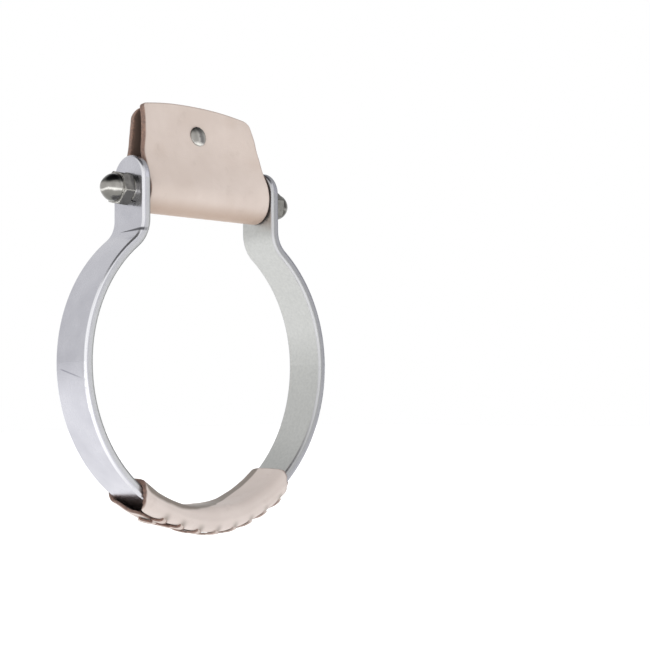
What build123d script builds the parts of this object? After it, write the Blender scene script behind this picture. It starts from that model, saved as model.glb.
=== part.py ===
from build123d import *
import math
import os

# A western aluminium stirrup: a flat bar bent into a hoop with two arms, a roller on an axle
# between the arms, a folded leather cover round the roller, and a laced leather tread.
# Millimetres. Origin at the centre of the axle. +X along the axle to the right, +Z up,
# +Y to the back. The arms stand up and the tread hangs below.

# Bar and hoop
neck_inside = 76.2  # between the arms' inner faces, 3 in
bar_thick = 4.7
bar_wide = 22.5
bar_edge_r = 1.5  # rounding of the bar's long edges
arm_top = 15.8  # top of an arm above the axle
loop_z = -80.0  # height of the widest level
upper_r = 71.5  # outer radius of the hoop above that level
upper_x = 3.7  # offset of that radius's centre from the middle
lower_r = upper_r + upper_x  # outer radius below that level
bend_r = 12.0  # outer radius of the bend from arm to hoop
foot_slope = 22.0  # slope of the straight runs under the tread, degrees
foot_r = 62.0  # outer radius at the very bottom

# Axle, roller and nuts
axle_r = 5.56  # 7/16 in between its shoulders
stud_r = 4.76  # 3/8 in threaded ends
hole_r = 5.0
run_gap = 0.05  # radial clearance of the roller on the axle
roller_r = 7.0
roller_play = 0.5  # end play at each side
washer_r = 7.5
washer_thick = 1.5
washer_slit = 0.8
nut_flats = 14.29  # 9/16 in across flats
nut_hex_long = 5.8
nut_dome_long = 7.2
nut_dome_r = 6.4
nut_turns = {"left": 17.0, "right": 11.0}  # how far each hexagon is turned, degrees
thread_gap = 0.04
thread_depth = 9.5  # how far the axle's end reaches into a cap nut

# Leather cover over the roller
cover_thick = 2.8
cover_gap = 0.3  # between the roller and the leather
cover_half = 37.3
cover_lean = 7.0  # the cover leans back by this many degrees
ply_gap = 0.4  # half the gap between the two plies above the wedge
ply_bend_r = 34.0
ply_bend_z = 24.0  # the plies are parallel above this height
cover_peak = 43.6
cover_corner = 40.4
cover_top_half = 35.2
corner_r = 2.5

# Rivet
rivet_z = 29.5
rivet_cap_r = 4.75  # 3/8 in cap
rivet_cap_high = 1.4
rivet_cap_rim = 0.35
rivet_post_r = 2.1
rivet_hole_r = 2.2
rivet_split = 0.6  # the post reaches this far into the back cap

# Leather tread
tread_thick = 2.4
tread_half = 44.0
tread_over = 0.2  # gap to the bar's inner face
tread_under = 1.2  # gap to the bar's outer face, where the lace returns
tread_side = 0.2
tread_edge_r = 2.2

# Lace
stitches = 8
stitch_pitch = 10.7
lace_wide = 4.0
lace_thick = 1.0
lace_tuck = 0.15  # the lace pulls in by this much between its holes
lace_under_y = 5.5  # from the tread's front face back to a lower hole
lace_slant = 9.0  # how far sideways the lace goes between a lower hole and the next upper one
slit_gap = 0.15
lace_lift = 0.1  # the return run clears the leather by this much

neck_out = neck_inside / 2 + bar_thick
axle_end = neck_out + washer_thick + thread_depth


def across(shape):
    """Turn a shape drawn in the XY plane to stand in the XZ plane."""
    return Plane.XZ * shape


def along_x(shape):
    """Turn a shape made along Z so that it lies along X."""
    return Rot(0, 90, 0) * shape


def half_outline(inset, top):
    """Right half of the hoop's outline, moved in from its outer face by inset."""
    reach = upper_r + bend_r
    bend_x = neck_out + bend_r
    bend_z = loop_z + math.sqrt(reach**2 - (bend_x - upper_x) ** 2)
    turn = math.degrees(math.atan2(bend_z - loop_z, bend_x - upper_x))
    neck = Line((neck_out - inset, top), (neck_out - inset, bend_z))
    bend = CenterArc((bend_x, bend_z), bend_r + inset, 180, turn)
    upper = CenterArc((upper_x, loop_z), upper_r - inset, turn, -turn)
    lower = CenterArc((0, loop_z), lower_r - inset, 0, foot_slope - 90)
    foot_z = loop_z - (lower_r - foot_r) / math.cos(math.radians(foot_slope))
    foot = CenterArc((0, foot_z), foot_r - inset, foot_slope - 90, -foot_slope)
    run = Line(lower @ 1, foot @ 0)
    return [neck, bend, upper, lower, run, foot]


def outline(inset, top):
    """The whole outline, as a list of edges."""
    right = half_outline(inset, top)
    left = [mirror(edge, about=Plane.YZ) for edge in right]
    return right + left


def band(outer, inner, wide, top):
    """A bar with the hoop's shape between two insets, wide in Y."""
    edges = outline(outer, top) + outline(inner, top)
    for side in (-1, 1):
        edges.append(Line((side * (neck_out - outer), top), (side * (neck_out - inner), top)))
    return extrude(across(make_face(edges)), wide / 2, both=True)


def make_bow():
    """The hoop and its two arms, with rounded arm ends and a hole for the axle."""
    half = bar_wide / 2
    round_z = arm_top - half
    deep = 200.0
    bow = band(0, bar_thick, bar_wide, arm_top)
    below = Pos(0, 0, round_z - deep / 2) * Box(deep, bar_wide, deep)
    ends = Pos(0, 0, round_z) * along_x(Cylinder(half, deep))
    bow = bow & (below + ends)
    rims = [e for e in bow.edges() if is_long_edge(e, half, round_z)]
    bow = fillet(rims, bar_edge_r)
    return bow - along_x(Cylinder(hole_r, deep))


def is_long_edge(edge, half, round_z):
    """True for the edges that run along the bar, or round an arm's end."""
    middle = edge @ 0.5
    on_side = abs(abs(middle.Y) - half) < 0.01
    along_bar = abs((edge % 0.5).Y) < 0.5
    return (on_side and along_bar) or (middle.Z > round_z + 0.1)


def make_axle():
    """Axle with shoulders that bear on the arms, and threaded ends for the cap nuts."""
    middle = Cylinder(axle_r, neck_inside)
    ends = Cylinder(stud_r, 2 * axle_end)
    ends = chamfer(ends.edges().filter_by(GeomType.CIRCLE), 0.8)
    return along_x(middle + ends)


def make_roller():
    """Steel tube that turns on the axle."""
    long = neck_inside - 2 * roller_play
    tube = Cylinder(roller_r, long) - Cylinder(axle_r + run_gap, long)
    outer = tube.edges().filter_by(GeomType.CIRCLE).sort_by(SortBy.RADIUS)[-2:]
    return along_x(chamfer(outer, 0.5))


def place_end(shape, side, start):
    """Put a shape made along +Z on the axle, going out from the arm on that side."""
    turn = 90 if side == "right" else -90
    sign = 1 if side == "right" else -1
    return Pos(sign * start, 0, 0) * Rot(0, turn, 0) * shape


def make_washer(side):
    """Split lock washer."""
    high = washer_thick / 2
    ring = Pos(0, 0, high) * (Cylinder(washer_r, washer_thick) - Cylinder(hole_r, washer_thick))
    slit = Box(washer_r, washer_slit, 3 * washer_thick)
    slit = Pos(-washer_r, 0, high) * Rot(20, 0, 0) * slit
    return place_end(Rot(0, 0, 35) * (ring - slit), side, neck_out)


def make_cap_nut(side):
    """Acorn nut: a hexagon chamfered at both ends, a domed cap and a blind thread."""
    corner = nut_flats / 2 / math.cos(math.radians(30))
    hexagon = extrude(RegularPolygon(corner, 6), nut_hex_long)
    trim = chamfer(extrude(Circle(corner + 0.05), nut_hex_long).edges(), 0.55, 1.05)
    body = hexagon & trim
    foot = nut_hex_long - 0.3
    top = nut_hex_long + nut_dome_long
    nose = 1.1
    flank = Line((nut_dome_r, foot), (nut_dome_r, nut_hex_long + 1.0))
    crown = Spline(flank @ 1, (4.6, top - 2.1), (nose, top), tangents=[(0, 1), (-1, 0.12)])
    cap = Line(crown @ 1, (0, top))
    axis = Line((0, top), (0, foot))
    base = Line((0, foot), (nut_dome_r, foot))
    dome = revolve(across(make_face([flank, crown, cap, axis, base])), Axis.Z)
    bore = extrude(Circle(stud_r + thread_gap), thread_depth + 0.5)
    nut = Rot(0, 0, nut_turns[side]) * (body + dome) - bore
    return place_end(nut, side, neck_out + washer_thick)


def ply_half(offset):
    """Half of the folded cover's section at this offset from the leather's middle."""
    fold_r = roller_r + cover_gap + cover_thick / 2
    ply_y = ply_gap + cover_thick / 2
    far_y = ply_y + ply_bend_r
    reach = math.hypot(far_y, ply_bend_z)
    slope = math.atan2(ply_bend_z, far_y) - math.acos((fold_r + ply_bend_r) / reach)
    tilt = math.degrees(slope)
    fold = CenterArc((0, 0), fold_r + offset, -90, 90 + tilt)
    bend = CenterArc((far_y, ply_bend_z), ply_bend_r - offset, 180 + tilt, -tilt)
    flank = Line(fold @ 1, bend @ 0)
    rise = Line(bend @ 1, (ply_y + offset, cover_peak + 5))
    return [fold, flank, bend, rise]


def make_cover():
    """One piece of leather folded under the roller, its two plies riveted together above."""
    half = cover_thick / 2
    edges = []
    for offset in (-half, half):
        right = ply_half(offset)
        edges += right + [mirror(edge, about=Plane.YZ) for edge in right]
    top = cover_peak + 5
    inner_y = ply_gap
    outer_y = ply_gap + cover_thick
    edges += [Line((side * inner_y, top), (side * outer_y, top)) for side in (-1, 1)]
    section = Plane.YZ * make_face(edges)
    folded = extrude(section, cover_half, both=True)
    low = -20.0
    shape = [
        Line((-cover_half, low), (cover_half, low)),
        Line((cover_half, low), (cover_half, 8)),
        Line((cover_half, 8), (cover_top_half + 1, cover_corner)),
        ThreePointArc((cover_top_half + 1, cover_corner), (1, cover_peak), (-cover_top_half, cover_corner)),
        Line((-cover_top_half, cover_corner), (-cover_half, 8)),
        Line((-cover_half, 8), (-cover_half, low)),
    ]
    sheet = make_face(shape)
    corners = sheet.vertices().sort_by(Axis.Y)[-2:]
    sheet = fillet(corners, corner_r)
    cover = folded & extrude(across(sheet), 30, both=True)
    hole = Pos(0, 0, rivet_z) * Rot(90, 0, 0) * Cylinder(rivet_hole_r, 30)
    return cover - hole


def cap_dome():
    """Domed rivet cap standing on the XY plane."""
    crown = rivet_cap_high - rivet_cap_rim
    ball_r = (rivet_cap_r**2 + crown**2) / (2 * crown)
    disc = Pos(0, 0, rivet_cap_high / 2) * Cylinder(rivet_cap_r, rivet_cap_high)
    return disc & Pos(0, 0, rivet_cap_high - ball_r) * Sphere(ball_r)


def make_rivet():
    """The rivet's front cap with its post, and the back cap pressed on the post."""
    face = ply_gap + cover_thick
    post_long = 2 * face + rivet_split
    post = Pos(0, 0, -post_long / 2) * Cylinder(rivet_post_r, post_long)
    front = Pos(0, -face, rivet_z) * Rot(90, 0, 0) * (cap_dome() + post)
    socket = Pos(0, 0, rivet_split / 2) * Cylinder(rivet_post_r, rivet_split)
    back = Pos(0, face, rivet_z) * Rot(-90, 0, 0) * (cap_dome() - socket)
    return front, back


def tread_wire():
    """The line along the tread's underside, from end to end."""
    shapes = [across(line) for line in outline(-tread_under - tread_thick, 0)]
    edges = [edge for shape in shapes for edge in shape.edges()]
    return Wire([edge for edge in edges if (edge @ 0.5).Z < loop_z])


def plane_at(along):
    """Plane on the tread's underside: x along it, z up into the leather, y to the back."""
    wire = tread_wire()
    from_start = wire.length / 2 + along
    if wire.position_at(0).X > 0:
        from_start = wire.length - from_start
    spot = wire.position_at(from_start, position_mode=PositionMode.LENGTH)
    tangent = wire.tangent_at(from_start, position_mode=PositionMode.LENGTH)
    if tangent.X < 0:
        tangent = -tangent
    return Plane(origin=spot, x_dir=tangent, z_dir=tangent.cross(Vector(0, 1, 0)))


def stitch_starts():
    """Distance along the underside from the middle to each lower hole."""
    first = -(stitches - 1) / 2 * stitch_pitch - lace_slant / 2
    return [first + i * stitch_pitch for i in range(stitches)]


def slab(half_x, y0, y1, z0, z1):
    """A box centred on x = 0 between two depths and two heights."""
    return Pos(0, (y0 + y1) / 2, (z0 + z1) / 2) * Box(2 * half_x, y1 - y0, z1 - z0)


def strip(y0, x1, y1):
    """A tall prism a little narrower than the lace, running sideways by x1 from y0 to y1."""
    w = lace_wide / 2 - lace_tuck
    corners = [(-w, y0), (w, y0), (x1 + w, y1), (x1 - w, y1)]
    return extrude(make_face(Polyline(*corners, close=True)), 8, both=True)


def lower_plug(along, grow=0.0):
    """Where the lace goes up through the leather under the bar."""
    y = lace_under_y - tread_front()
    half = lace_wide / 2 + grow
    reach = 0.4 + grow
    return plane_at(along) * slab(half, y - grow, y + lace_thick + grow, -reach, tread_thick + reach)


def upper_plug(along, grow=0.0):
    """Where the lace goes in through the leather's front face, just under the bar."""
    front = -tread_front()
    low = tread_thick + lace_lift
    half = lace_wide / 2 + grow
    return plane_at(along) * slab(half, front - 0.5, front + tread_thick + 1, low - grow, low + lace_thick + grow)


def tread_front():
    """Half the tread's width over the leather."""
    return bar_wide / 2 + tread_side + tread_thick


def make_tread():
    """Leather wrapped round the bottom of the hoop, with a slit at each end of each stitch."""
    front = tread_front()
    outer = band(-tread_under - tread_thick, bar_thick + tread_over + tread_thick, 2 * front, 0)
    outer = outer & Pos(0, 0, -150) * Box(2 * tread_half, 60, 80)
    rims = [e for e in outer.edges() if abs(abs((e @ 0.5).Y) - front) < 0.01 and abs((e % 0.5).X) > 0.3]
    outer = fillet(rims, tread_edge_r)
    tread = outer - band(-tread_under, bar_thick + tread_over, bar_wide + 2 * tread_side, 0)
    for along in stitch_starts():
        tread -= lower_plug(along, slit_gap)
        tread -= upper_plug(along + lace_slant, slit_gap)
    return tread


def make_lace():
    """Flat lace whipped round the tread's lower front edge and back under the bar."""
    front = -tread_front()
    back_y = front + lace_under_y + lace_thick - lace_tuck
    fore_y = front - lace_thick + lace_tuck
    wide = 2 * (tread_front() + lace_thick)
    skin = -tread_under - tread_thick
    outside = band(skin - lace_thick, skin, wide, 0)
    run_low = lace_lift + lace_tuck - tread_under
    run_high = lace_lift + lace_thick - lace_tuck - tread_under
    under_bar = band(run_low, run_high, wide, 0)
    rise_top = tread_thick + lace_lift + lace_thick
    rise = slab(lace_wide / 2, front - lace_thick, front, -lace_thick / 2, rise_top)
    leg = strip(back_y, lace_slant, fore_y)
    run = strip(front + tread_thick, stitch_pitch - lace_slant, back_y)
    pieces = []
    for along in stitch_starts():
        top = along + lace_slant
        pieces += [lower_plug(along), plane_at(along) * leg & outside]
        pieces += [plane_at(top) * rise, upper_plug(top)]
        pieces.append(plane_at(top) * run & under_bar)
    return pieces[0] + pieces[1:-1]


def lean(shape):
    """Lean the cover and its rivet back about the axle."""
    return Rot(-cover_lean, 0, 0) * shape


def build():
    """Every piece by its node name."""
    front_cap, back_cap = make_rivet()
    nodes = {
        "bow": make_bow(),
        "axle_stud": make_axle(),
        "roller_tube": make_roller(),
        "bolt_cover": lean(make_cover()),
        "rivet_front_cap": lean(front_cap),
        "rivet_back_cap": lean(back_cap),
        "tread_cover": make_tread(),
        "tread_lace": make_lace(),
    }
    for side in ("left", "right"):
        nodes["lock_washer_" + side] = make_washer(side)
        nodes["cap_nut_" + side] = make_cap_nut(side)
    return nodes


os.makedirs("parts", exist_ok=True)
for name, shape in build().items():
    export_step(shape, "parts/" + name + ".step")
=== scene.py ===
import math

import bpy
import numpy as np
from mathutils import Matrix, Vector, noise


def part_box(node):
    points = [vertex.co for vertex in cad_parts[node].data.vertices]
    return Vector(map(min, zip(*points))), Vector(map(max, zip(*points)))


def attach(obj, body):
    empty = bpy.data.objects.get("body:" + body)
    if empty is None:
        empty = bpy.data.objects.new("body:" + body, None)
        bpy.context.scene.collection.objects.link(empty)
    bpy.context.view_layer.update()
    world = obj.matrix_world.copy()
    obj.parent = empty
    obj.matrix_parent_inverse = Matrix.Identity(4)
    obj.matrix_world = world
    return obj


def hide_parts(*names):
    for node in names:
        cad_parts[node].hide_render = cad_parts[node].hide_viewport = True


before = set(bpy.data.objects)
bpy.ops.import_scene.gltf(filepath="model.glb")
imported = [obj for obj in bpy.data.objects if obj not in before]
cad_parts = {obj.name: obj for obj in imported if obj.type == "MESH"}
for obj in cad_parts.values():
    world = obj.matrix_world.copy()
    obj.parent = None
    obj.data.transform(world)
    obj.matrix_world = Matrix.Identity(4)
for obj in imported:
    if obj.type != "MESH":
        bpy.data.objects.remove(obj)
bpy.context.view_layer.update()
scene = bpy.context.scene

# Everything below is drawn in millimetres in the row frame and scaled to metres when a mesh is made.
# Lights, the camera and the materials' coordinates are in metres.
MM = 0.001
bow_low, bow_high = (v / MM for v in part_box("bow"))
bar_wide = bow_high.y - bow_low.y
bar_thick = 4.7
loop_z = -80.0  # height of the hoop's widest level
hoop_r = 75.2  # outer radius of the hoop below that level
foot_slope = math.radians(22)  # slope of the straight runs under the tread
foot_r = 62.0  # outer radius at the very bottom
roller_r = (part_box("roller_tube")[1] / MM).z
floor_drop = 110  # the floor lies this far below the bow


# ---------------------------------------------------------------- camera, light, floor

def add_camera():
    """The photograph's viewing angle: from the front left, a little below the middle, looking slightly up."""
    at = Vector((-0.4450, -0.5156, -0.0969))
    ahead = Vector((0.7167, 0.6955, 0.0515)).normalized()
    nearly_right = Vector((0.69672, -0.71731, -0.00976))
    right = (nearly_right - ahead * nearly_right.dot(ahead)).normalized()
    turn = Matrix((right, right.cross(ahead), -ahead)).transposed().to_4x4()
    data = bpy.data.cameras.new("camera")
    data.lens = 78.52
    data.sensor_width = 36.0
    data.clip_start = 0.02
    camera = bpy.data.objects.new("camera", data)
    scene.collection.objects.link(camera)
    camera.matrix_world = Matrix.Translation(at) @ turn
    scene.camera = camera


def area_light(name, at, size, power, color, aim=(0, 0, -0.07), glossy=True):
    """A square soft light that points at the object; without glossy it doesn't show in reflections."""
    data = bpy.data.lights.new(name, "AREA")
    data.shape = "SQUARE"
    data.size = size
    data.energy = power
    data.color = color
    light = bpy.data.objects.new(name, data)
    scene.collection.objects.link(light)
    light.location = at
    light.visible_glossy = glossy
    light.rotation_euler = (Vector(aim) - Vector(at)).to_track_quat("-Z", "Y").to_euler()


def add_world():
    """White all round and dark overhead, with a panel in front that brightens from left to right and back."""
    world = bpy.data.worlds.new("world")
    scene.world = world
    world.use_nodes = True
    tree = Nodes(world.node_tree)
    tree.clear()
    x, y, z = tree.split(tree.add("ShaderNodeTexCoord").outputs["Generated"])
    round_about = tree.ramp(z, [(0.0, (0.80, 0.80, 0.80)), (0.47, (1, 1, 1)), (0.86, (1, 1, 1)),
                                (0.93, (0.16, 0.16, 0.17)), (1.0, (0.05, 0.05, 0.055))], low=-1, high=1)
    beside = tree.math("ADD", tree.product(x, -0.8), tree.product(y, -0.6))
    panel = tree.ramp(beside, [(0.0, (0.55, 0.55, 0.58)), (0.33, (0.60, 0.60, 0.63)),
                               (0.58, (1.55, 1.55, 1.58)), (1.0, (1.0, 1.0, 1.0))], low=-0.35, high=0.15)
    in_front = tree.remap(y, -0.15, -0.45, 0, 1)
    shade = tree.mix(in_front, round_about, tree.mix(1.0, round_about, panel, "MULTIPLY"))
    back = tree.add("ShaderNodeBackground", Color=shade, Strength=1.0).outputs[0]
    tree.link(back, tree.add("ShaderNodeOutputWorld").inputs["Surface"])


def add_floor():
    """A plain pale floor under the hanging stirrup, glowing a little so that it stays pale."""
    mesh = bpy.data.meshes.new("floor")
    size, z = 6.0, (bow_low.z - floor_drop) * MM
    corners = [(-size, -size, z), (size, -size, z), (size, size, z), (-size, size, z)]
    mesh.from_pydata(corners, [], [(0, 1, 2, 3)])
    floor = bpy.data.objects.new("floor", mesh)
    scene.collection.objects.link(floor)
    material = bpy.data.materials.new("floor_paper")
    material.use_nodes = True
    tree = Nodes(material.node_tree)
    bsdf = tree.principled()
    tree.set(bsdf, {"Base Color": (0.85, 0.85, 0.85, 1), "Roughness": 0.9})
    tree.set(bsdf, {"Emission Color": (1, 1, 1, 1), "Emission Strength": 0.62})
    mesh.materials.append(material)


# ---------------------------------------------------------------- node helpers

class Nodes:
    """Short calls for building a node tree. A value may be a number, a color or another node's output."""

    def __init__(self, tree):
        self.tree = tree

    def clear(self):
        self.tree.nodes.clear()

    def link(self, out, socket):
        self.tree.links.new(out, socket)

    def set(self, node, values):
        """Link or set a node's inputs, by name or number."""
        for key, value in values.items():
            if isinstance(value, bpy.types.NodeSocket):
                self.link(value, node.inputs[key])
            else:
                node.inputs[key].default_value = value

    def add(self, kind, **values):
        """A new node; an underscore in an input's name stands for a space."""
        node = self.tree.nodes.new(kind)
        self.set(node, {key.replace("_", " "): value for key, value in values.items()})
        return node

    def principled(self):
        self.clear()
        bsdf = self.tree.nodes.new("ShaderNodeBsdfPrincipled")
        out = self.tree.nodes.new("ShaderNodeOutputMaterial")
        self.link(bsdf.outputs[0], out.inputs["Surface"])
        return bsdf

    def math(self, kind, a, b=0.0, clamp=False):
        node = self.tree.nodes.new("ShaderNodeMath")
        node.operation = kind
        node.use_clamp = clamp
        self.set(node, {0: a, 1: b})
        return node.outputs[0]

    def product(self, *values):
        result = values[0]
        for value in values[1:]:
            result = self.math("MULTIPLY", result, value)
        return result

    def dot(self, a, b):
        node = self.tree.nodes.new("ShaderNodeVectorMath")
        node.operation = "DOT_PRODUCT"
        self.set(node, {0: a, 1: b})
        return node.outputs["Value"]

    def split(self, vector):
        """A vector's X, Y and Z."""
        node = self.add("ShaderNodeSeparateXYZ", Vector=vector)
        return node.outputs["X"], node.outputs["Y"], node.outputs["Z"]

    def ramp(self, value, stops, low=0.0, high=1.0):
        """A color ramp over low to high."""
        if (low, high) != (0.0, 1.0):
            value = self.remap(value, low, high, 0, 1)
        node = self.tree.nodes.new("ShaderNodeValToRGB")
        elements = node.color_ramp.elements
        for i, (at, color) in enumerate(stops):
            item = elements[i] if i < 2 else elements.new(at)
            item.position = at
            item.color = (*color, 1)
        self.link(value, node.inputs["Fac"])
        return node.outputs["Color"]

    def remap(self, value, low, high, new_low, new_high):
        """Low to high becomes new_low to new_high, and stays within them."""
        node = self.add("ShaderNodeMapRange")
        self.set(node, {0: value, 1: low, 2: high, 3: new_low, 4: new_high})
        return node.outputs[0]

    def mix(self, amount, a, b, blend="MIX"):
        """Color a where amount is 0, b where it is 1."""
        node = self.tree.nodes.new("ShaderNodeMix")
        node.data_type = "RGBA"
        node.blend_type = blend
        amount_input, a_input, b_input = 0, 6, 7
        self.set(node, {amount_input: amount})
        for key, value in ((a_input, a), (b_input, b)):
            self.set(node, {key: value if isinstance(value, bpy.types.NodeSocket) else (*value, 1)})
        color_output = 2
        return node.outputs[color_output]

    def noise(self, vector, scale, detail=3.0, rough=0.5):
        node = self.add("ShaderNodeTexNoise", Vector=vector, Scale=scale, Detail=detail, Roughness=rough)
        return node.outputs["Fac"]

    def stretch(self, vector, scale):
        node = self.tree.nodes.new("ShaderNodeMapping")
        self.set(node, {"Vector": vector, "Scale": scale})
        return node.outputs[0]

    def attribute(self, name):
        node = self.tree.nodes.new("ShaderNodeAttribute")
        node.attribute_name = name
        return node.outputs["Fac"]

    def bump(self, height, strength, distance, normal=None):
        node = self.add("ShaderNodeBump", Height=height, Strength=strength, Distance=distance)
        if normal is not None:
            self.link(normal, node.inputs["Normal"])
        return node.outputs[0]


def new_material(name):
    """A material, its tree, its main shader and the object coordinates."""
    material = bpy.data.materials.new(name)
    material.use_nodes = True
    tree = Nodes(material.node_tree)
    bsdf = tree.principled()
    where = tree.add("ShaderNodeTexCoord").outputs["Object"]
    return material, tree, bsdf, where


def scaled(color, *factors):
    """A color with each channel multiplied by its own factor."""
    return tuple(value * factor for value, factor in zip(color, factors))


# ---------------------------------------------------------------- materials

def leather(name, light, dark, cut, flesh, shade_and_dirt_color=(0.33, 0.215, 0.145)):
    """Natural vegetable tanned leather: fine pores, blotches, dark cut edges and a fuzzy back.

    The mesh's point attributes flesh and cut say where its back and cut edges are, and a third says where it
    gets painted shade and dirt.
    """
    material, tree, bsdf, where = new_material(name)
    cloud = tree.noise(where, 38, 3.0, 0.55)
    mottle = tree.noise(where, 260, 4.0, 0.6)
    smudge = tree.noise(where, 120, 5.0, 0.65)
    pores = tree.add("ShaderNodeTexVoronoi", Vector=where, Scale=1500.0).outputs["Distance"]
    fine = tree.noise(where, 2600, 2.0, 0.5)
    fold = tree.noise(tree.stretch(where, (0.35, 1, 1)), 520, 2.0, 0.6)
    fuzz = tree.noise(where, 1400, 4.0, 0.7)
    streak = tree.noise(where, 900, 4.0, 0.6)

    color = tree.mix(tree.remap(cloud, 0.35, 0.68, 0, 1), dark, light)
    color = tree.mix(tree.remap(mottle, 0.4, 0.75, 0, 0.22), color, dark)
    color = tree.mix(tree.remap(smudge, 0.58, 0.74, 0, 0.34), color, scaled(dark, 0.75, 0.72, 0.7))
    color = tree.mix(tree.remap(pores, 0.0, 0.28, 0.16, 0.0), color, scaled(dark, 0.6, 0.55, 0.5))
    # Painted shade and dirt, where the mesh's point attribute says.
    color = tree.mix(tree.attribute("shade_and_dirt"), color, shade_and_dirt_color)
    color = tree.mix(tree.attribute("flesh"), color, tree.mix(fuzz, flesh, scaled(flesh, 1.9, 1.8, 1.7)))
    edge = tree.mix(tree.remap(streak, 0.35, 0.7, 0, 1), cut, scaled(cut, 2.1, 1.9, 1.7))
    color = tree.mix(tree.attribute("cut"), color, edge)

    rough = tree.remap(mottle, 0.3, 0.7, 0.50, 0.66)
    rough = tree.math("ADD", rough, tree.product(tree.attribute("flesh"), 0.3), clamp=True)
    normal = tree.bump(pores, 0.12, 0.00025)
    normal = tree.bump(fine, 0.10, 0.0002, normal)
    normal = tree.bump(fold, 0.10, 0.0006, normal)
    tree.set(bsdf, {"Base Color": color, "Roughness": rough, "Normal": normal})
    tree.set(bsdf, {"Specular IOR Level": 0.38, "Sheen Weight": 0.08, "Sheen Roughness": 0.5})
    return material


def scratch(tree, x, y, z):
    """A thin slanting scratch across the outer face on the left."""
    slope, height = 0.268, -0.0849
    line = tree.math("ADD", tree.product(y, slope), height)
    off = tree.math("ABSOLUTE", tree.math("SUBTRACT", z, line))
    fade_back, fade_front = tree.remap(y, 0.0078, 0.006, 0, 1), tree.remap(y, -0.0095, -0.003, 0, 1)
    on_left = tree.remap(x, -0.05, -0.06, 0, 1)
    return tree.product(tree.remap(off, 0.00050, 0.00012, 0, 0.55), fade_back, fade_front, on_left)


def bend_painted_shade(tree, x, y, z):
    """Painted shade: a dark wedge across the hollow of the left bend, thin at the back and thick at the
    front.
    """
    line = tree.remap(y, 0.004, -0.011, -0.0200, -0.0192)
    half = tree.remap(y, 0.004, -0.0105, 0.0001, 0.0010)
    off = tree.math("DIVIDE", tree.math("ABSOLUTE", tree.math("SUBTRACT", z, line)), half)
    fade_back = tree.remap(y, 0.005, 0.001, 0, 1)
    on_left = tree.remap(x, -0.035, -0.038, 0, 1)
    return tree.product(tree.remap(off, 1.0, 0.4, 0, 0.9), fade_back, on_left)


def aluminium():
    """Bar stock: polished outside, satin inside, with lengthwise grain and small handling marks, painted
    highlights and shade on its rims and front edge, and painted shade in the left bend.
    """
    material, tree, bsdf, where = new_material("bar_aluminium")
    x, y, z = tree.split(where)
    up = tree.math("SUBTRACT", z, loop_z * MM)
    along = tree.product(tree.math("ARCTAN2", up, x), hoop_r * MM)
    line = tree.add("ShaderNodeCombineXYZ", X=along, Y=y).outputs[0]
    facing = tree.add("ShaderNodeTexCoord").outputs["Normal"]
    facing_x, facing_y, _ = tree.split(facing)
    outward = tree.add("ShaderNodeCombineXYZ", X=x, Z=up).outputs[0]
    inside = tree.remap(tree.dot(facing, outward), 0.004, -0.004, 0, 1)
    outside = tree.math("SUBTRACT", 1.0, inside)
    grain = tree.noise(tree.stretch(line, (0.06, 1, 1)), 5200, 3.0, 0.6)
    brushed = tree.noise(tree.stretch(line, (0.02, 1, 1)), 1500, 4.0, 0.6)
    cloud = tree.noise(where, 60, 3.0, 0.6)
    spots = tree.noise(where, 700, 4.0, 0.65)

    outer = tree.mix(tree.remap(cloud, 0.3, 0.7, 0, 1), (0.455, 0.455, 0.495), (0.53, 0.53, 0.57))
    inner = tree.mix(tree.remap(spots, 0.3, 0.75, 0, 1), (0.445, 0.45, 0.44), (0.53, 0.535, 0.52))
    color = tree.mix(inside, outer, inner)
    color = tree.mix(tree.remap(spots, 0.66, 0.8, 0, 0.35), color, (0.36, 0.36, 0.37))

    # Painted shade: the flat front edge is darker on the right. Painted highlight and shade: the rims,
    # rounded over beside it, are bright where they face left and dark where they face right.
    side = tree.math("ABSOLUTE", facing_y)
    front = tree.product(tree.remap(side, 0.9, 0.99, 0, 0.35), tree.remap(x, 0.0, 0.04, 0, 1))
    color = tree.mix(front, color, (0.10, 0.10, 0.115))
    rounded = tree.product(tree.remap(side, 0.12, 0.42, 0, 1), tree.remap(side, 0.98, 0.86, 0, 1))
    rim_light_and_shade = tree.ramp(facing_x, [(0.0, (0.93, 0.93, 0.96)), (0.35, (0.85, 0.85, 0.88)),
                               (0.65, (0.22, 0.22, 0.24)), (1.0, (0.13, 0.13, 0.145))], low=-1, high=1)
    # The painted rim tones fade to dark towards the right and towards the bottom.
    dim = tree.product(tree.remap(x, -0.06, 0.0, 1, 0.6), tree.remap(z, -0.15, -0.10, 0.6, 1))
    rim_light_and_shade = tree.mix(dim, (0.04, 0.04, 0.045), rim_light_and_shade)
    tinted = tree.product(rounded, 0.8)
    color = tree.mix(tinted, color, rim_light_and_shade)
    # Where the rims face right, the painted colour takes the place of the metal's reflection; the painted rim
    # tones also tint the highlights.
    shaded = tree.product(rounded, tree.remap(facing_x, 0.25, 0.55, 0, 1))

    color = tree.mix(tree.product(scratch(tree, x, y, z), outside), color, (0.16, 0.16, 0.20))
    # Painted shade in the hollow of the left bend.
    color = tree.mix(tree.product(bend_painted_shade(tree, x, y, z), outside), color, (0.05, 0.05, 0.06))
    rough = tree.math("ADD", tree.remap(grain, 0.3, 0.7, 0.16, 0.26), tree.product(inside, 0.17))
    rough = tree.math("ADD", rough, tree.remap(cloud, 0.3, 0.7, 0.0, 0.06))
    normal = tree.bump(grain, 0.05, 0.00008)
    normal = tree.bump(brushed, 0.03, 0.0002, normal)
    tree.set(bsdf, {"Base Color": color, "Roughness": rough, "Normal": normal})
    tree.set(bsdf, {"Metallic": tree.remap(shaded, 0, 1, 1, 0.15),
                    "Specular IOR Level": tree.remap(shaded, 0, 1, 0.5, 0),
                    "Specular Tint": tree.mix(tinted, (1, 1, 1), rim_light_and_shade)})
    return material


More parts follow.
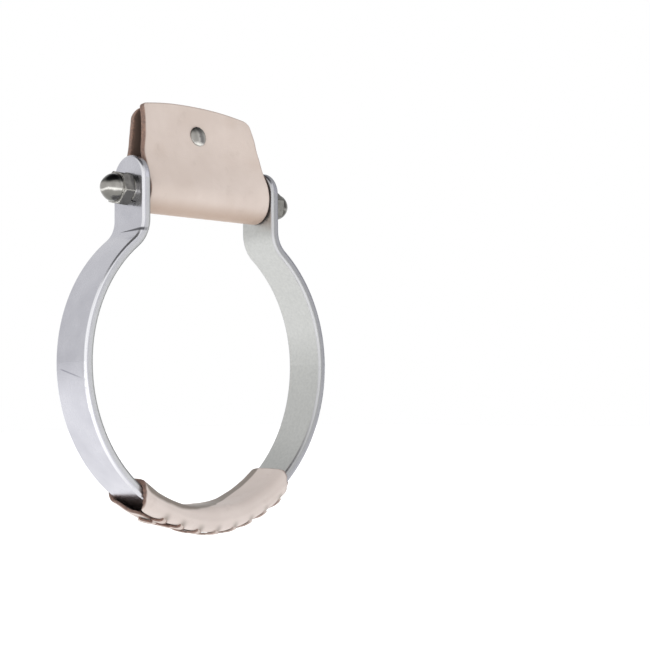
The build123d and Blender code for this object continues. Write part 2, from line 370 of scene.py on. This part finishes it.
def nickel():
    """Bright plating with faint smudges and rubbing marks, and a painted reflection: dark on top, a bright
    crescent lower down.
    """
    material, tree, bsdf, where = new_material("nickel_plate")
    cloud = tree.noise(where, 350, 4.0, 0.6)
    rub = tree.noise(tree.stretch(where, (0.2, 1, 1)), 4200, 2.0, 0.5)
    rounded = tree.add("ShaderNodeBevel", Radius=0.0007).outputs[0]
    _, _, up = tree.split(rounded)
    up = tree.math("ADD", up, tree.remap(cloud, 0.3, 0.7, -0.05, 0.05))
    # Painted reflection by how far the surface faces up: dark on top, a bright crescent a little below the
    # side.
    painted_reflection = tree.ramp(up, [(0.0, (0.12, 0.12, 0.11)), (0.30, (0.20, 0.195, 0.18)), (0.38, (0.75, 0.74, 0.70)),
                          (0.44, (0.34, 0.33, 0.31)), (0.60, (0.30, 0.29, 0.27)), (0.70, (0.06, 0.06, 0.055)),
                          (1.0, (0.03, 0.03, 0.028))], low=-1, high=1)
    x, _, _ = tree.split(where)
    # Painted shade on the right-hand nut and washer.
    right_nut_painted_shade = tree.remap(x, 0.042, 0.044, 0, 0.72)
    painted_reflection = tree.mix(right_nut_painted_shade, painted_reflection, (0.045, 0.043, 0.036))
    rough = tree.remap(cloud, 0.3, 0.75, 0.09, 0.2)
    normal = tree.bump(rub, 0.03, 0.00006, rounded)
    tree.set(bsdf, {"Base Color": painted_reflection, "Metallic": 1.0, "Roughness": rough, "Normal": normal})
    return material


def steel():
    """Plain turned steel, with rings from the lathe along the axle."""
    material, tree, bsdf, where = new_material("plain_steel")
    rings = tree.noise(tree.stretch(where, (1, 0.02, 0.02)), 6000, 3.0, 0.6)
    cloud = tree.noise(where, 300, 4.0, 0.6)
    color = tree.mix(tree.remap(cloud, 0.3, 0.7, 0, 1), (0.36, 0.35, 0.34), (0.5, 0.49, 0.48))
    normal = tree.bump(rings, 0.15, 0.0001)
    tree.set(bsdf, {"Base Color": color, "Metallic": 1.0, "Roughness": 0.38, "Normal": normal})
    return material


# ---------------------------------------------------------------- mesh helpers

def add_piece(name, points, faces, material, extra):
    """A smooth mesh from points in millimetres, with point attributes."""
    mesh = bpy.data.meshes.new(name)
    mesh.from_pydata((np.asarray(points) * MM).tolist(), [], faces)
    mesh.polygons.foreach_set("use_smooth", [True] * len(mesh.polygons))
    for key, values in extra.items():
        layer = mesh.attributes.new(name=key, type="FLOAT", domain="POINT")
        layer.data.foreach_set("value", np.clip(values, 0, 1).astype(float))
    mesh.materials.append(material)
    mesh.update()
    piece = bpy.data.objects.new(name, mesh)
    scene.collection.objects.link(piece)
    return piece


def grid_normals(points):
    """Unit normals of a grid of points, by differences along its two directions."""
    along = np.gradient(points, axis=0)
    across = np.gradient(points, axis=1)
    n = np.cross(along, across)
    return n / np.maximum(np.linalg.norm(n, axis=2, keepdims=True), 1e-9)


def wobble(points, size, seed):
    """Smooth noise in -1 to 1 at each point of a grid."""
    shape = points.shape[:-1]
    flat = points.reshape(-1, 3)
    values = [noise.noise(Vector(p / size) + Vector((seed, seed * 0.7, -seed))) for p in flat]
    return np.array(values).reshape(shape)


def shell(name, middle, thick, edge_distance, material, shade_and_dirt, round_edge=0.5):
    """A closed sheet of leather about a grid of mid-surface points, with rounded cut edges."""
    nu, nv, _ = middle.shape
    normal = grid_normals(middle)
    d = np.minimum(edge_distance, round_edge)
    half = np.asarray(thick) / 2 - round_edge + np.sqrt(round_edge**2 - (round_edge - d) ** 2)
    outer = middle + normal * half[..., None]
    inner = middle - normal * half[..., None]
    points = np.concatenate([outer.reshape(-1, 3), inner.reshape(-1, 3)])
    count = nu * nv
    index = np.arange(count).reshape(nu, nv)
    quads = np.stack([index[:-1, :-1], index[1:, :-1], index[1:, 1:], index[:-1, 1:]], -1).reshape(-1, 4)
    faces = quads.tolist() + (quads[:, ::-1] + count).tolist()
    border = [int(v) for v in (*index[0, :-1], *index[:-1, -1], *index[-1, :0:-1], *index[:0:-1, 0])]
    faces += [[i, j, j + count, i + count] for i, j in zip(border, border[1:] + border[:1])]
    dark_outside, dark_inside = 0.42, 1.3  # how far a cut edge's darkness reaches in
    cut = [np.exp(-((edge_distance / reach) ** 2)).ravel() for reach in (dark_outside, dark_inside)]
    flesh = [np.zeros(count), np.ones(count)]
    painted_tone = [shade_and_dirt.ravel(), np.zeros(count)]
    extra = {"cut": np.concatenate(cut), "flesh": np.concatenate(flesh), "shade_and_dirt": np.concatenate(painted_tone)}
    return add_piece(name, points, faces, material, extra)


def spread(low, high, count, fine):
    """Steps from low to high, with the fine steps in from both ends."""
    middle = np.linspace(low + fine[-1], high - fine[-1], count)[1:-1]
    return np.concatenate([low + np.array(fine), middle, high - np.array(fine)[::-1]])


def smooth(value, low, high):
    """0 below low, 1 above high, smooth between."""
    t = np.clip((value - low) / (high - low), 0, 1)
    return t * t * (3 - 2 * t)


def lengths(line):
    """Length along a line of points, from its start to each."""
    return np.concatenate([[0], np.cumsum(np.hypot(*np.diff(line, axis=0).T))])


# ---------------------------------------------------------------- leather cover

cover_thick = 2.8
cover_gap = 0.3  # between the roller and the leather
cover_lean = math.radians(7)  # the cover leans back
cover_half = 37.3
cover_narrowing = 3.3  # each side edge comes in by this much at the top
cover_top = 44.4  # top of the section line, before the crown takes its part
cover_edge = 35.0  # half the width at the top, for the corners' rounding
rivet_z = 29.5


def cover_half_line():
    """Back half of the cover's section, from the bottom of the fold to its top: lengths, and y and z."""
    fold_r = roller_r + cover_gap + cover_thick / 2
    ply_y = 0.4 + cover_thick / 2
    bend_r, bend_z, past_top = 48.0, 30.0, 60.0
    far_y = ply_y + bend_r
    tilt = math.atan2(bend_z, far_y) - math.acos((fold_r + bend_r) / math.hypot(far_y, bend_z))
    line = [(fold_r * math.cos(a), fold_r * math.sin(a)) for a in np.linspace(-math.pi / 2, tilt, 60)]
    turns = np.linspace(math.pi + tilt, math.pi, 30)
    line += [(far_y + bend_r * math.cos(a), bend_z + bend_r * math.sin(a)) for a in turns]
    line.append((ply_y, past_top))
    line = np.array(line)
    s = lengths(line)
    return s, line, s[-1] - past_top + cover_top


def cover_gape(z, v, front):
    """How far each ply stands off towards its side edges, by height."""
    left = 0.9 * smooth(z, 2, 13) + 2.4 * smooth(z, 15, 27) - 1.1 * smooth(z, 30, 43)
    right = 2.2 * smooth(z, -3, 8) + 1.1 * smooth(z, 12, 22) - 2.6 * smooth(z, 28, 43)
    back = 2.6 * smooth(z, 3, 13) - 1.6 * smooth(z, 24, 40)
    return np.abs(v) ** 2.2 * np.where(front, np.where(v < 0, left, right), back)


def make_cover(material):
    """One piece folded under the roller; the plies gape at their side edges and narrow to the top.

    On its grid u runs from the front ply's top through the fold to the back ply's, and v runs left to right.
    """
    s, line, full = cover_half_line()
    across = spread(-1.0, 1.0, 70, fine=(0, 0.003, 0.008, 0.015, 0.026))
    down = spread(-1.0, 1.0, 190, fine=(0, 0.002, 0.005, 0.009, 0.015))
    u, v = np.meshgrid(down, across, indexing="ij")
    front, left = u < 0, v < 0
    corner = np.where(front, np.where(left, 1.6, 3.4), np.where(left, 6.0, 4.0))
    edge_in = (1 - np.abs(v)) * cover_edge
    rounding = corner - np.sqrt(np.maximum(corner**2 - (corner - edge_in) ** 2, 0))
    drop = np.where(edge_in < corner, rounding, 0)
    crown = 3.6 * np.abs(v) ** 2.2 + 0.25 * v
    top = full - crown - drop - np.where(front, 0.0, 0.5)
    run = np.abs(u) * top
    y = np.interp(run, s, line[:, 0])
    z = np.interp(run, s, line[:, 1])
    x = v * (cover_half - cover_narrowing * smooth(z, 4, 46))
    press = -0.25 * np.exp(-(x**2 + (z - rivet_z) ** 2) / 40.0) * smooth(z, 4, 16)
    y = np.where(front, -1, 1) * (y + cover_gape(z, v, front) + press)
    middle = np.stack([x, y, z], -1)
    middle[..., 1] += 0.22 * wobble(middle, 26.0, 3.1) * smooth(z, 0, 20)
    middle[..., 0] += 0.18 * wobble(middle, 9.0, 8.4) * np.abs(v) ** 6
    c, w = math.cos(cover_lean), math.sin(cover_lean)
    middle = middle @ np.array([[1, 0, 0], [0, c, -w], [0, w, c]])
    distance = np.minimum(edge_in, (1 - np.abs(u)) * top)
    # Painted shade: darker and warmer towards the bottom of the fold; faint dirt in blotches all over.
    shade_and_dirt = 0.70 * (1 - smooth(z, -9.5, -3)) + 0.06 * smooth(wobble(middle, 13.0, 5.5), 0.25, 0.6)
    piece = shell("cover_leather", middle, cover_thick, distance, material, shade_and_dirt)
    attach(piece, "hanger")
    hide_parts("bolt_cover")


# ---------------------------------------------------------------- leather tread

tread_thick = 2.4
tread_half = (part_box("tread_cover")[1] / MM).x
tread_run = 47.0  # half the tread's length along the bar's outer face
tread_gap = 0.2  # between the leather and the bar, over it and beside it
tread_under = 0.35  # between the leather and the bar's outer face

# Stitches of the lace round the tread's lower front corner. Lengths round the corner are + under the bar
# and - up the front.
stitch_first, stitch_pitch, stitch_count = -42.8, 10.7, 8
stitch_slant = 10.2  # how far a stitch moves along the bar
stitch_low = 4.4  # where it comes out, under the bar
stitch_round = 8.0  # how far it goes round from there
pinch_high = -3.4  # the middle of the darkening where it goes in
stitch_starts = [stitch_first + stitch_pitch * i for i in range(stitch_count)]


def foot_line():
    """The bar's outer face under the tread: lengths from the middle, x and z, and outward directions."""
    foot_z = loop_z - (hoop_r - foot_r) / math.cos(foot_slope)
    angles = np.linspace(0, foot_slope, 60)
    arc = np.stack([foot_r * np.sin(angles), foot_z - foot_r * np.cos(angles)], 1)
    angles = np.linspace(foot_slope, math.radians(62), 120)
    lower = np.stack([hoop_r * np.sin(angles), loop_z - hoop_r * np.cos(angles)], 1)
    start, end = arc[-1], lower[0]
    run = start + (end - start) * np.linspace(0, 1, 30)[1:-1, None]
    half = np.concatenate([arc, run, lower])
    line = np.concatenate([half[:0:-1] * (-1, 1), half])
    s = lengths(line)
    s -= s[-1] / 2
    way = np.gradient(line, axis=0)
    way /= np.linalg.norm(way, axis=1, keepdims=True)
    return s, line, np.stack([way[:, 1], -way[:, 0]], 1)


foot_s, foot_xz, foot_out = foot_line()


def on_foot(s, y, h):
    """Points at length s along the bar, depth y and height h outward from its outer face."""
    x = np.interp(s, foot_s, foot_xz[:, 0]) + h * np.interp(s, foot_s, foot_out[:, 0])
    z = np.interp(s, foot_s, foot_xz[:, 1]) + h * np.interp(s, foot_s, foot_out[:, 1])
    return np.stack(np.broadcast_arrays(x, y, z), -1)


def end_length(h, side):
    """Where the tread ends at height h: the ends are cut nearly square to the bar."""
    target = tread_half - np.where(side < 0, 0.60, 0.76) * h
    return np.interp(target, foot_xz[:, 0], foot_s)


def section(sag, low_sag):
    """The tread's mid-line round the bar, from the seam round the front corner, over, down and under to it.

    Returns lengths, and y and h. Under the bar it hangs by sag in its middle and by low_sag at the seam.
    """
    side = bar_wide / 2 + tread_gap + tread_thick / 2
    top = -(bar_thick + tread_gap + tread_thick / 2)
    low = tread_under + tread_thick / 2
    seam = low + low_sag
    seam_r, front_r, back_r, under_r = 2.4, 2.9, 3.8, 3.2
    quarter = math.pi / 2

    line = [(-side + t, seam) for t in (4.2, 3.4, 2.6)]
    line += [(-side + seam_r * (1 - math.cos(a)), seam - seam_r * (1 - math.sin(a)))
             for a in np.linspace(quarter, 0.1, 12)]
    start = seam - 2.6
    line += [(-side - 0.4 * math.sin(math.pi * t), start + (top + front_r - start) * t)
             for t in np.linspace(0.1, 1, 12)]
    line += [(-side + front_r * (1 - math.cos(a)), top + front_r * (1 - math.sin(a)))
             for a in np.linspace(0.15, quarter, 12)]
    line += [(y, top - 0.35 * math.cos(y / side * 1.4)) for y in np.linspace(-side + 4, side - 5, 16)]
    line += [(side - back_r * (1 - math.sin(a)), top + back_r * (1 - math.cos(a)))
             for a in np.linspace(0.1, quarter, 12)]
    line += [(side, h) for h in np.linspace(top + 4.4, low - 3.0, 4)]
    line += [(side - under_r * (1 - math.cos(a)), low - under_r * (1 - math.sin(a)))
             for a in np.linspace(0.15, quarter, 10)]
    for t in np.linspace(0.12, 1, 16):
        y = side - under_r - (2 * side - under_r - 5.0) * t
        line.append((y, low + sag * math.sin(math.pi * (0.15 + 0.7 * t)) * t + low_sag * t))
    line = np.array(line)
    return lengths(line), line


tread_round = section(0, 0)[0][-1]  # length round the bar, from seam to seam


def tread_grid():
    """Mid-surface points of the tread on a grid: along the bar, and round it from seam to seam."""
    rows = spread(-1.0, 1.0, 120, fine=(0, 0.003, 0.007, 0.013, 0.022))
    cols = spread(0.0, 1.0, 130, fine=(0, 0.0018, 0.0045, 0.008, 0.014))
    middle = np.zeros((len(rows), len(cols), 3))
    distance = np.zeros((len(rows), len(cols)))
    corner, arch, arch_half = 4.5, 1.9, 15.0
    for i, u in enumerate(rows):
        near_left = smooth(-u, 0.45, 1.0)
        near_right = smooth(u, 0.8, 1.0)
        sag = 0.35 + 3.2 * near_left + 0.5 * near_right
        low_sag = 0.2 + 1.2 * near_left - 0.15 * near_right
        step, line = section(sag, low_sag)
        lift = arch * math.exp(-((u * tread_run / arch_half) ** 2))
        from_end = (1 - abs(u)) * tread_run
        cut_back = corner - math.sqrt(max(corner**2 - (corner - min(from_end, corner)) ** 2, 0))
        low_part, high_part = cut_back * 0.9, step[-1] - cut_back * 0.9
        at = low_part + (high_part - low_part) * cols
        y = np.interp(at, step, line[:, 0])
        h = np.interp(at, step, line[:, 1])
        middle[i] = on_foot(u * end_length(h, u), y, h - lift * (h < 0) * smooth(-h, 2.0, 6.0))
        distance[i] = np.minimum(from_end, np.minimum(cols, 1 - cols) * tread_round)
    return rows, cols, middle, distance


def top_painted_shade(middle, s, run):
    """Painted shade on the top, behind a border that starts at the front shoulder and swings to the back."""
    border_s = (-23, -10, -4, 2, 8, 14, 20, 27, 45)
    border = np.interp(s, border_s, (9.4, 11.2, 11.9, 14.0, 19.4, 23.0, 25.3, 26.6, 28.4))
    border = border + 0.3 * wobble(middle, 5.0, 9.3)
    # Towards the left the painted shade fades away behind the border.
    painted_tone = 0.5 * smooth(run - border, 3, 13) * (1 - smooth(s, 5, 25)) * (1 + 0.5 * wobble(middle, 9.0, 2.6))
    return (0.95 - painted_tone) * smooth(run, border - 0.5, border + 0.5) * (1 - smooth(run, 33.5, 37))


def make_tread(material):
    """Leather wrapped round the bar, its edges laced together at the lower front corner."""
    rows, cols, middle, distance = tread_grid()
    u = np.broadcast_to(rows[:, None], distance.shape)
    share = np.broadcast_to(cols, distance.shape)
    puff = 0.22 * wobble(middle, 12.0, 1.7) + 0.10 * wobble(middle, 4.5, 6.2)
    middle = middle - grid_normals(middle) * (puff * smooth(distance, 0, 4))[..., None]
    shade_and_dirt = top_painted_shade(middle, u * tread_run, share * tread_round)
    # Darker round each stitch hole, where the lace comes out and where it goes in.
    for start in stitch_starts:
        for s, q in ((start, stitch_low), (start + stitch_slant, pinch_high)):
            gap = np.linalg.norm(middle - near_seam(middle, rows, cols, s, q), axis=2)
            shade_and_dirt = np.maximum(shade_and_dirt, 0.75 * np.exp(-((gap / 1.7) ** 2)))
    skive = smooth(-u, 0.55, 0.95) * smooth(share, 0.62, 0.72)
    piece = shell("tread_leather", middle, tread_thick - 0.9 * skive, distance, material, shade_and_dirt)
    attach(piece, "hoop")
    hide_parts("tread_cover")
    flat = (section(0.3, 0.3)[0][-1] * MM, 2 * tread_run * MM)
    return rows, cols, middle


# ---------------------------------------------------------------- lace

def near_seam(middle, rows, cols, s, q):
    """The tread's point at s along the bar and q round the lower front corner."""
    share = (-q if q < 0 else tread_round - q) / tread_round
    row = np.interp(s, rows * tread_run, np.arange(len(rows)))
    col = np.interp(share, cols, np.arange(len(cols)))
    i0, j0 = int(row), int(col)
    i1, j1 = min(i0 + 1, len(rows) - 1), min(j0 + 1, len(cols) - 1)
    a, b = row - i0, col - j0
    return ((1 - a) * (1 - b) * middle[i0, j0] + a * (1 - b) * middle[i1, j0]
            + (1 - a) * b * middle[i0, j1] + a * b * middle[i1, j1])


def stitch_path(rows, cols, middle, start, k):
    """Points along one stitch and the way out of the leather at each."""
    path, up = [], []
    reach = tread_thick / 2 + 0.45
    for t in np.linspace(0, 1, 34):
        q = stitch_low - stitch_round * t
        s = start + stitch_slant * (1 - (1 - t) ** 1.5) + 0.25 * math.sin(k * 1.9)
        base = near_seam(middle, rows, cols, s, q if abs(q) > 0.06 else 0.06)
        out = foot_out[int(np.interp(s, foot_s, np.arange(len(foot_s))))]
        turn = smooth(-q, 1.2, 5.4) * math.pi / 2
        way = np.array([out[0] * math.cos(turn), -math.sin(turn), out[1] * math.cos(turn)])
        lift = reach + 0.35 * math.sin(math.pi * t)
        dive = 3.4 * smooth(abs(t - 0.5), 0.40, 0.5)
        path.append(base + way * (lift - dive))
        up.append(way)
    return np.array(path), np.array(up)


def add_ribbon(points, faces, cut, path, up, wide, thick):
    """A flat lace with slightly domed faces and cut edges."""
    way = np.gradient(path, axis=0)
    way /= np.linalg.norm(way, axis=1, keepdims=True)
    side = np.cross(way, up)
    side /= np.linalg.norm(side, axis=1, keepdims=True)
    out = np.cross(side, way)
    ring = [(t, 1 - 0.3 * t * t, float(abs(t) > 0.72)) for t in np.linspace(-1, 1, 9)]
    ring += [(t, -0.8, 1.0) for t in np.linspace(1, -1, 9)]
    first, count, n = len(points), len(path), len(ring)
    for i in range(count):
        squeeze = 0.72 + 0.28 * math.sin(math.pi * i / (count - 1)) ** 0.6
        for a, b, dark in ring:
            points.append(path[i] + side[i] * a * wide / 2 * squeeze + out[i] * b * thick / 2)
            cut.append(dark)
    for i in range(count - 1):
        for j in range(n):
            a, b = first + i * n + j, first + i * n + (j + 1) % n
            faces.append([a, b, b + n, a + n])
    faces.append([first + j for j in range(n)][::-1])
    faces.append([first + (count - 1) * n + j for j in range(n)])


def make_lace(material, rows, cols, middle):
    """Each stitch comes out of the underside, slants round the corner and goes in at the front."""
    points, faces, cut = [], [], []
    darkness = (1.0, 1.0, 0.85, 0.4)  # of the cut edges, from the left; the last holds for all the rest
    for k, start in enumerate(stitch_starts):
        path, up = stitch_path(rows, cols, middle, start, k)
        first = len(cut)
        add_ribbon(points, faces, cut, path, up, 4.1 + 0.25 * math.sin(k * 2.4), 1.1)
        cut[first:] = [value * darkness[min(k, 3)] for value in cut[first:]]
    zero = np.zeros(len(points))
    extra = {"cut": np.array(cut), "flesh": zero, "shade_and_dirt": zero}
    piece = add_piece("tread_lacing", points, faces, material, extra)
    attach(piece, "hoop")
    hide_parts("tread_lace")


# ---------------------------------------------------------------- build

def dress(node, material):
    """Give a CAD node its material."""
    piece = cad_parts[node]
    piece.data.materials.clear()
    piece.data.materials.append(material)


add_camera()
add_world()
add_floor()
area_light("key_front", (-0.35, -1.5, 0.35), 1.2, 0.8, (1.0, 0.99, 0.98))
area_light("fill_left", (-1.3, -0.4, 0.1), 1.0, 0.4, (0.98, 0.99, 1.0))
area_light("top_soft", (-0.75, -0.1, 0.9), 1.2, 7.0, (1.0, 1.0, 1.0), glossy=False)
scene.view_settings.view_transform = "Standard"

natural = leather("natural_leather", light=(0.60, 0.515, 0.465), dark=(0.54, 0.455, 0.405),
                  cut=(0.12, 0.08, 0.066), flesh=(0.07, 0.048, 0.038))
# The tread's own darker colour for shade and dirt is for the painted shade on its top and the darkening round
# its stitches.
tread_skin = leather("natural_leather_tread", light=(0.59, 0.52, 0.485), dark=(0.535, 0.465, 0.43),
                     cut=(0.12, 0.08, 0.068), flesh=(0.15, 0.11, 0.09), shade_and_dirt_color=(0.18, 0.15, 0.125))
# The lace is the same leather, made darker as painted shade.
shaded_lace_skin = leather("lace_leather", light=(0.54, 0.46, 0.42), dark=(0.46, 0.38, 0.34),
                    cut=(0.12, 0.075, 0.062), flesh=(0.09, 0.06, 0.05))
bar, plate, plain = aluminium(), nickel(), steel()
dress("bow", bar)
for side in ("left", "right"):
    dress("cap_nut_" + side, plate)
    dress("lock_washer_" + side, plate)
for face in ("front", "back"):
    dress(f"rivet_{face}_cap", plate)
for node in ("axle_stud", "roller_tube"):
    dress(node, plain)
make_cover(natural)
rows, cols, middle = make_tread(tread_skin)
make_lace(shaded_lace_skin, rows, cols, middle)
